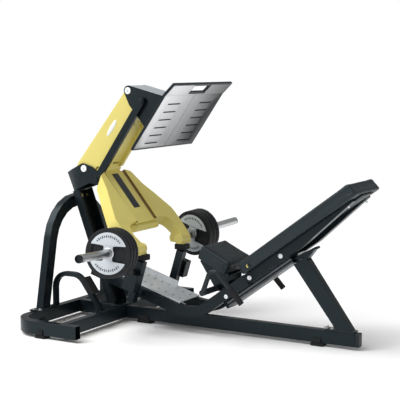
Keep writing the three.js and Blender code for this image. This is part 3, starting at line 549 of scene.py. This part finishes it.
def make_pad(name, node, place, corners, half, cap, seam_drop):
    """A padded block: the solid's own shape, swollen a little as cloth under pressure."""
    outline = pad_outline(corners)
    bm = bmesh.new()
    faces = [bm.verts.new((p.x, -half, p.y)) for p in outline]
    base = bm.faces.new(faces)
    pulled = bmesh.ops.extrude_face_region(bm, geom=[base])
    for vert in [g for g in pulled["geom"] if isinstance(g, bmesh.types.BMVert)]:
        vert.co.y = half
    bmesh.ops.recalc_face_normals(bm, faces=bm.faces)
    ends = [e for e in bm.edges if abs(e.verts[0].co.y - e.verts[1].co.y) < 1e-6]
    bmesh.ops.bevel(bm, geom=ends, offset=0.012, segments=3, affect="EDGES", profile=0.5)
    mesh = bpy.data.meshes.new(name)
    bm.to_mesh(mesh)
    bm.free()
    piece = bpy.data.objects.new(name, mesh)
    bpy.context.scene.collection.objects.link(piece)
    remesh = piece.modifiers.new("remesh", "REMESH")
    remesh.mode = "VOXEL"
    remesh.voxel_size = 0.006
    bake(piece)
    low = min(p.y for p in outline)
    start = [v.co.copy() for v in piece.data.vertices]
    swell(piece, low)
    for vert, before in zip(piece.data.vertices, start):
        move = vert.co - before
        lift = min(1.0, max(0.0, (before.z - low) / 0.02))
        if move.length > cap:
            move *= cap / move.length
        vert.co = before + move * lift
    smooth = piece.modifiers.new("smooth", "SMOOTH")
    smooth.factor = 0.5
    smooth.iterations = 2
    finer = piece.modifiers.new("finer", "SUBSURF")
    finer.levels = finer.render_levels = 1
    bake(piece)
    piece.data.transform(place)
    piece.data.materials.append(HIDE)
    for face in piece.data.polygons:
        face.use_smooth = True
    tree = BVHTree.FromObject(piece, bpy.context.evaluated_depsgraph_get())
    body = "backrest_carriage" if node == "backrest_pad" else "frame"
    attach(piece, body)
    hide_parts(node)
    xs = [p.x for p in outline]
    top = max(p.y for p in outline)
    rim = rounded_box(min(xs) - 0.02, max(xs) + 0.02, -half - 0.02, half + 0.02, 0.05)
    welt = []
    count = 160
    for k in range(count):
        t = k / count * len(rim)
        i = int(t)
        a, b = Vector(rim[i % len(rim)]), Vector(rim[(i + 1) % len(rim)])
        u = a.lerp(b, t - i)
        outer = Vector((u.x, u.y, top - seam_drop))
        inward_x = min(max(u.x, min(xs) + 0.05), max(xs) - 0.05)
        inward_y = min(max(u.y, -half + 0.05), half - 0.05)
        inward = Vector((inward_x, inward_y, top - seam_drop))
        ray_from = place @ outer
        hit = tree.ray_cast(ray_from, (place @ inward - ray_from).normalized())
        if hit[0]:
            welt.append(hit[0])
    pipe(f"{name}_welt", welt, 0.0016, THREAD, body, closed=True, sides=8)
    return piece


def bake(piece):
    """Applies a piece's modifiers to its mesh."""
    bpy.context.view_layer.update()
    made = bpy.data.meshes.new_from_object(piece.evaluated_get(bpy.context.evaluated_depsgraph_get()))
    piece.modifiers.clear()
    piece.data = made


def swell(piece, low):
    group = piece.vertex_groups.new(name="held")
    group.add([v.index for v in piece.data.vertices if v.co.z < low + 0.006], 1.0, "REPLACE")
    cloth = piece.modifiers.new("cloth", "CLOTH")
    cloth.settings.quality = 5
    cloth.settings.vertex_group_mass = "held"
    cloth.settings.use_pressure = True
    cloth.settings.uniform_pressure_force = 4.0
    cloth.settings.effector_weights.gravity = 0.0
    cloth.settings.tension_stiffness = 12
    cloth.settings.compression_stiffness = 12
    cloth.settings.bending_stiffness = 0.6
    cloth.point_cache.frame_start = 1
    cloth.point_cache.frame_end = 18
    for number in range(1, 19):
        bpy.context.scene.frame_set(number)
    bake(piece)
    bpy.context.scene.frame_set(1)


def pads():
    make_pad(
        "seat_cushion", "seat_pad", turned(Vector((0.081 + SHIFT, 0, 0.432)), math.radians(-27.1)),
        [(-0.098, -0.002, 0.010), (0.103, -0.002, 0.010), (0.109, 0.090, 0.010), (-0.109, 0.083, 0.014)],
        0.148, 0.0025, 0.016,
    )
    make_pad(
        "backrest_cushion", "backrest_pad", RAIL_PLACE,
        [(-0.004, 0.0795, 0.010), (0.874, 0.0795, 0.010), (0.867, 0.159, 0.014), (-0.005, 0.152, 0.014)],
        0.185, 0.004, 0.016,
    )


def block(name, outline, half, place, material, body, slot, edge=0.002):
    """A block from an outline in its own X-Z plane, as thick as twice half across Y."""
    return plate(name, [outline], 2 * half, place @ QUARTER, material, body, edge)


def mounts():
    """The board under the backrest, the plate on the strut and the lever's neck."""
    board = rounded_box(0.012, 0.858, 0.0690, 0.0790, 0.002)
    block("backrest_board", board, 0.0850, RAIL_PLACE, BLACK_PLASTIC, "backrest_carriage", "cap_plastic")
    head = [(0.578 + SHIFT, 0.508), (0.584 + SHIFT, 0.495), (0.724 + SHIFT, 0.572), (0.717 + SHIFT, 0.585)]
    flat = Matrix.Identity(4)
    block("strut_head_plate", head, 0.0335, flat, FRAME_PAINT, "frame", "frame_paint")
    corners = ((0.5795, 0.481), (0.580, 0.500), (0.7135, 0.570), (0.6635, 0.503), (0.648, 0.5185))
    wedge = [(x + SHIFT, z) for x, z in corners]
    block("strut_head", wedge, 0.0290, flat, FRAME_PAINT, "frame", "frame_paint")
    corners = ((0.095, 0.040), (0.164, 0.031), (0.168, -0.006), (0.120, -0.035))
    neck = [(LEVER.x + x, LEVER.z + z) for x, z in corners]
    block("lever_neck", neck, 0.0815, flat, LEVER_PAINT, "lever", "lever_paint", 0.004)


# ---- weight discs and sleeves -----------------------------------------------------------------
DISC_R = 0.150
DISC_THICK = 0.037
DISC_BORE = 0.0254
FACE_R = 0.125


def disc_places(sign):
    """The discs' inner faces, from the solids: each one's middle and its axis outwards."""
    side = "near" if sign < 0 else "far"
    axis = Vector(JOINT[f"disc_slide_{side}"]["axis"]).normalized()
    turn = Vector((0, 0, 1)).rotation_difference(axis).to_matrix().to_4x4()
    for i in (1, 2, 3):
        low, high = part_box(f"weight_disc_{i}_{side}")
        middle = (low + high) / 2 - axis * DISC_THICK / 2
        yield i, side, Matrix.Translation(middle) @ turn


def ribbed(angle, radius, height):
    """Shallow tread across the rim."""
    if radius < DISC_R - 0.0015:
        return 1.0
    return 1.0 - 0.004 * (0.5 + 0.5 * math.cos(angle * 60))


def disc_face_outline():
    outline = []
    for turn in (0, 180):
        outline += arc((0, 0), FACE_R, 24 + turn, 156 + turn, 30)
        flip = 1 if turn == 0 else -1
        outline += [(-0.047 * flip, 0.047 * flip), (-0.030 * flip, 0.043 * flip)]
        outline += arc((0, 0), 0.038, 140 + turn, 218 + turn, 6)
        outline += [(-0.030 * flip, -0.043 * flip), (-0.047 * flip, -0.047 * flip)]
    return outline


def discs():
    t = DISC_THICK
    rim = [(DISC_BORE, 0.003), (0.040, 0.003), (0.042, 0.006), (0.046, 0.012), (0.108, 0.012),
           (0.114, 0.002), (0.142, 0.0), (0.147, 0.001), (DISC_R, 0.005), (DISC_R, 0.0165),
           (0.1475, 0.0185), (DISC_R, 0.0205),
           (DISC_R, t - 0.005), (0.147, t - 0.001), (0.142, t), (0.114, t - 0.002), (0.108, t - 0.012),
           (0.046, t - 0.012), (0.042, t - 0.006), (0.040, t - 0.003), (DISC_BORE, t - 0.003)]
    for _, sign in SIDES:
        for i, side, place in disc_places(sign):
            body = f"discs_{side}"
            name = f"weight_disc_{i}_{side}"
            wheel = lathe(f"{name}_rim", rim, place, DISC_BLACK, body, 120, ribbed)
            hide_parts(name)
            faces = [(t - 0.0032, "outer")] + ([(0.0032, "inner")] if i == 1 else [])
            for height, label in faces:
                here = place @ Matrix.Translation((0, 0, height)) @ Matrix.Rotation(math.radians(6), 4, "Z")
                bore = arc((0, 0), 0.0275, 360, 0, 40)[:-1]
                plate(f"{name}_{label}_face", [disc_face_outline(), bore], 0.006, here,
                      DISC_FACE, body, 0.0008)
                hub = [(0.0262, -0.004), (0.034, -0.004), (0.034, 0.003), (0.032, 0.0045), (0.0285, 0.0045),
                       (0.0262, 0.003)]
                up = here if label == "outer" else here @ Matrix.Rotation(math.pi, 4, "X")
                lathe(f"{name}_{label}_hub", hub, up, CHROME, body, 48)
                if i == 3 or label == "inner":
                    face_marks(f"{name}_{label}_marks", up, body)


def face_marks(name, place, body):
    """A row of plain raised ticks along each bright face."""
    bm = bmesh.new()
    for turn in (90, 270):
        for k in range(-6, 7):
            angle = math.radians(turn + k * 7.6)
            reach = 0.0155 if k % 2 else 0.0105
            spot = Matrix.Rotation(angle, 4, "Z") @ Matrix.Translation((0.102, 0, 0.0034))
            made = bmesh.ops.create_cube(bm, size=1.0)
            size = Matrix.Diagonal((reach, 0.0062, 0.0012, 1))
            bmesh.ops.transform(bm, matrix=spot @ size, verts=made["verts"])
    bmesh.ops.bevel(bm, geom=bm.edges, offset=0.0003, segments=1, affect="EDGES")
    bm.transform(place)
    mesh = bpy.data.meshes.new(name)
    bm.to_mesh(mesh)
    bm.free()
    return new_piece(name, mesh, DECAL, body)


def sleeves():
    for side, sign in SIDES:
        axis = Vector(JOINT[f"disc_slide_{side}"]["axis"]).normalized()
        low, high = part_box(f"weight_horn_{side}")
        inner_y, outer_y = (high.y, low.y) if sign < 0 else (low.y, high.y)
        root = Vector((-0.383 + SHIFT, sign * 0.500, 0.526))
        root += axis * ((abs(inner_y) + 0.002 - 0.500) / abs(axis.y))
        long = (abs(outer_y) - abs(inner_y) - 0.004) / abs(axis.y)
        collar = 0.119
        place = along(root, axis)
        bar = [(0, 0), (0.0305, 0), (0.031, 0.001), (0.031, collar - 0.004), (0.029, collar),
               (0.0248, collar + 0.0005), (0.0248, long - 0.040), (0.0243, long - 0.039), (0.0243, long - 0.036),
               (0.0248, long - 0.035), (0.0248, long - 0.012), (0, long - 0.012)]
        made = lathe(f"weight_sleeve_{side}", bar, place, CHROME, "lever", 64)
        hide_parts(f"weight_horn_{side}")
        cap = [(0, long - 0.011), (0.0245, long - 0.011), (0.0247, long - 0.004), (0.0225, long - 0.0005),
               (0.0185, long), (0.0160, long - 0.008), (0, long - 0.008)]
        lathe(f"sleeve_end_{side}", cap, place, BLACK_PLASTIC, "lever", 48)
        ring = [(0.0312, 0.0), (0.036, 0.0), (0.0365, 0.001), (0.0365, 0.009), (0.035, 0.010), (0.0312, 0.010)]
        lathe(f"sleeve_stop_ring_{side}", ring, place @ Matrix.Translation((0, 0, collar - 0.014)), CHROME,
              "lever", 48)


# ---- release handles ----------------------------------------------------------------------------
def release_handles():
    """Each side's bent bar, its rubber grip and the tube that joins the two."""
    bend = arc((0.078, 0.094), 0.040, 155, 52, 9)
    path = [(0.0, 0.0)] + [(u, v) for u, v in bend] + [(0.260, -0.040)]
    tube = along(RELEASE - Vector((0, 0.289, 0)), (0, 1, 0))
    profile = [(0, 0), (0.0165, 0), (0.018, 0.0015), (0.018, 0.5765), (0.0165, 0.578), (0, 0.578)]
    cross = lathe("release_cross_tube", profile, tube, BLACK_PLASTIC, "release", 40)
    for side, sign in SIDES:
        places = [RELEASE + Vector((u, sign * 0.276, v)) for u, v in path]
        name = f"release_bar_{side}"
        pipe(name, places, 0.0150, BLACK_PLASTIC, "release", sides=24)
        end, before = places[-1], places[-2]
        back = (before - end).normalized()
        ribs = [(0, 0), (0.0160, 0), (0.0178, 0.002), (0.0178, 0.006)]
        for k in range(14):
            z = 0.012 + 0.0075 * k
            ribs += [(0.0168, z - 0.0022), (0.0178, z - 0.001), (0.0178, z + 0.001), (0.0168, z + 0.0022)]
        ribs += [(0.0176, 0.116), (0.0152, 0.118), (0, 0.118)]
        name = f"release_handgrip_{side}"
        grip = lathe(name, ribs, along(end, back), BLACK_RUBBER, "release", 40)
        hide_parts(f"release_grip_{side}")
    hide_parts("release_handles")


# ---- feet -------------------------------------------------------------------------------------
def shoe(name, node):
    """A rubber shoe under a floor tube, with a lip that grips each side of the tube."""
    low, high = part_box(node)
    middle = (low + high) / 2
    half = Vector(((high.x - low.x) / 2, (high.y - low.y) / 2))
    bm = bmesh.new()
    across_y = abs(middle.y) < 0.01 or abs(abs(middle.y) - 0.665) < 0.01
    wide = half.y if across_y else half.x

    def block(x0, x1, y0, y1, z0, z1):
        made = bmesh.ops.create_cube(bm, size=1.0)
        spot = Matrix.Translation(((x0 + x1) / 2, (y0 + y1) / 2, (z0 + z1) / 2))
        size = Matrix.Diagonal((x1 - x0, y1 - y0, z1 - z0, 1))
        bmesh.ops.transform(bm, matrix=spot @ size, verts=made["verts"])

    block(low.x, high.x, low.y, high.y, 0.0, high.z)
    for sign in (-1, 1):
        inner, outer = sign * 0.0254, sign * wide
        if across_y:
            y0, y1 = sorted((middle.y + inner, middle.y + outer))
            block(low.x + 0.012, high.x - 0.012, y0, y1, high.z - 0.001, 0.052)
        else:
            x0, x1 = sorted((middle.x + inner, middle.x + outer))
            block(x0, x1, low.y + 0.012, high.y - 0.012, high.z - 0.001, 0.052)
    bmesh.ops.bevel(bm, geom=bm.edges, offset=0.003, segments=3, affect="EDGES")
    mesh = bpy.data.meshes.new(name)
    bm.to_mesh(mesh)
    bm.free()
    piece = new_piece(name, mesh, BLACK_RUBBER, "frame")
    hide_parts(node)


def feet():
    for node in sorted(n for n in NODES if n.startswith("foot_")):
        shoe(node.replace("foot_", "shoe_"), node)


# ---- footplate ----------------------------------------------------------------------------------
FACE = {"bottom": (-0.333, 1.124), "fold": (-0.105, 1.450), "top": (-0.035, 1.517)}


def face_place(start, end):
    """A frame on the footplate: X up the face, Y across it and Z out of it, towards the seat."""
    (x0, z0), (x1, z1) = FACE[start], FACE[end]
    up = Vector((x1 - x0, 0, z1 - z0)).normalized()
    across = Vector((0, -1, 0))
    out = up.cross(across)
    turn = Matrix((up, across, out)).transposed().to_4x4()
    return Matrix.Translation((x0 + SHIFT, 0, z0)) @ turn, math.hypot(x1 - x0, z1 - z0)


def footplate():
    lower, long = face_place("bottom", "fold")
    upper, _ = face_place("fold", "top")
    for side, sign in SIDES:
        inner, outer = sorted((-sign * 0.0016, -sign * 0.3395))
        slots = []
        for k in range(6):
            u = 0.046 + 0.058 * k
            middle = -sign * 0.185
            slots.append(rounded_box(u - 0.0048, u + 0.0048, middle - 0.070, middle + 0.070, 0.0046))
        field = rounded_box(0.0105, long - 0.0002, inner, outer, 0.0012)
        place = lower @ Matrix.Translation((0, 0, -0.0022))
        name = f"footplate_tread_{side}"
        made = plate(name, [field] + slots, 0.004, place, PLATE, "footplate")
        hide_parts(f"footplate_sheet_{side}")
        edge, far_edge = -sign * 0.0016, -sign * 0.3395
        corner = -sign * 0.099
        shape = [(0.0, edge), (0.011, edge), (0.011, corner)]
        shape += [(0.0865, corner), (0.0865, far_edge), (0.0, far_edge)]
        place = upper @ Matrix.Translation((0, 0, -0.0022))
        plate(f"footplate_top_{side}", [shape], 0.004, place, PLATE, "footplate")
    # Painted reflection: a light grey sheet over the black bracket's top face, standing in for the bright
    # surroundings it reflects.
    nose, end = Vector((-0.523 + SHIFT, 0, 1.5042)), Vector((-0.1525 + SHIFT, 0, 1.4125))
    run = end - nose
    place = Matrix.Translation(nose) @ Matrix.Rotation(math.atan2(-run.z, run.x), 4, "Y")
    reflection_outline = rounded_box(0.010, run.length - 0.012, -0.0925, 0.0925, 0.004)
    place = place @ Matrix.Translation((0, 0, 0.0012))
    plate("footplate_bracket_top_reflection", [reflection_outline], 0.0020, place, GREY_TRIM_AND_REFLECTION, "footplate")


# ---- badges, strips and fasteners ---------------------------------------------------------------
def badges():
    oval = [(0.062 * math.cos(a), 0.0145 * math.sin(a)) for a in [2 * math.pi * k / 48 for k in range(48)]]
    for side, sign in SIDES:
        place = ARM_PLACE @ Matrix.Translation((0.335, sign * 0.0823, -0.022))
        place = place @ QUARTER
        plate(f"arm_badge_{side}", [oval], 0.0012, place, PALE_MARK, "lever", 0.0003)
    strip = rounded_box(0.136, 0.403, -0.034, 0.034, 0.002)
    place = FORK_PLACE @ Matrix.Translation((0, 0, 0.1116))
    plate("fork_decal_strip", [strip], 0.0010, place, DECAL, "lever", 0.0003)
    # Painted shade: thin dark brown sheets on the wall and floor of each recess beside the fork's front panel,
    # where shade falls.
    for side, sign in SIDES:
        wall = rounded_box(0.118, 0.508, 0.1113, 0.1205, 0.001)
        place = FORK_PLACE @ QUARTER @ Matrix.Translation((0, 0, -sign * 0.1134))
        plate(f"fork_groove_{side}", [wall], 0.0010, place, LEVER_SHADE, "lever", 0.0002)
        inner, outer = sorted((sign * 0.0940, sign * 0.1128))
        floor = rounded_box(0.120, 0.505, inner, outer, 0.001)
        place = FORK_PLACE @ Matrix.Translation((0, 0, 0.1116))
        name = f"fork_groove_floor_{side}"
        plate(name, [floor], 0.0010, place, LEVER_SHADE, "lever", 0.0002)
    spot = RAIL_PLACE @ Matrix.Translation((0.062, -0.1862, 0.104)) @ QUARTER
    disc = [(0, 0), (0.016, 0), (0.0165, 0.0015), (0.014, 0.0028), (0.012, 0.0020), (0, 0.0020)]
    lathe("backrest_badge", disc, spot, BLACK_PLASTIC, "backrest_carriage", 40)
    mark = arc((0, 0), 0.0095, 60, 250, 12) + arc((0.004, 0.001), 0.0068, 240, 70, 12)
    plate("backrest_badge_mark", [mark], 0.0010, spot @ Matrix.Translation((0, 0, 0.0025)), LEVER_PAINT,
          "backrest_carriage", 0.0002)


def fasteners():
    for k, y in enumerate((-0.004, 0.056)):
        web = Vector((-0.9581 + SHIFT, y, 0.7878))
        hex_bolt(f"column_bolt_{k}", web, (0.936, 0, 0.351), 0.013, "frame", BRASSY)
    for side, sign in SIDES:
        out = (0, sign, 0)
        for label, at, body in (("lever", LEVER, "frame"), ("footplate", PLATE_PIVOT, "lever")):
            place = along(at + Vector((0, sign * 0.1006, 0)), out)
            socket = [(0, 0), (0.0045, 0), (0.0045, 0.0010), (0.0036, 0.0015), (0, 0.0015)]
            lathe(f"{label}_pivot_socket_{side}", socket, place, GREY_TRIM_AND_REFLECTION, body, 24)
        foot = Vector((-0.329 + SHIFT, sign * 0.249, 0.519))
        button_bolt(f"fork_foot_bolt_{side}", foot, (1, 0, 0.1), 0.009, "lever", ZINC)
        tube = Vector((0.187 + SHIFT, sign * 0.1342, 0.256))
        button_bolt(f"side_tube_bolt_{side}", tube, out, 0.013, "frame")
        bar = Vector((0.966 + SHIFT, sign * 0.1342, 0.845))
        button_bolt(f"bar_bolt_{side}", bar, out, 0.007, "backrest_carriage")
        for k, x in enumerate((0.825, 0.785)):
            beam = Vector((x + SHIFT, sign * 0.014, 0.1096))
            hex_bolt(f"beam_bolt_{k}_{side}", beam, (0, 0, 1), 0.015, "frame", ZINC)
        for k, x in enumerate((-1.005, -0.960)):
            flange = Vector((x + SHIFT, sign * 0.456, 0.1096))
            hex_bolt(f"arch_bolt_{k}_{side}", flange, (0, 0, 1), 0.015, "frame", ZINC)


make_camera()
make_studio()
dress_frame()
footplate()
pads()
mounts()
discs()
sleeves()
release_handles()
feet()
badges()
fasteners()
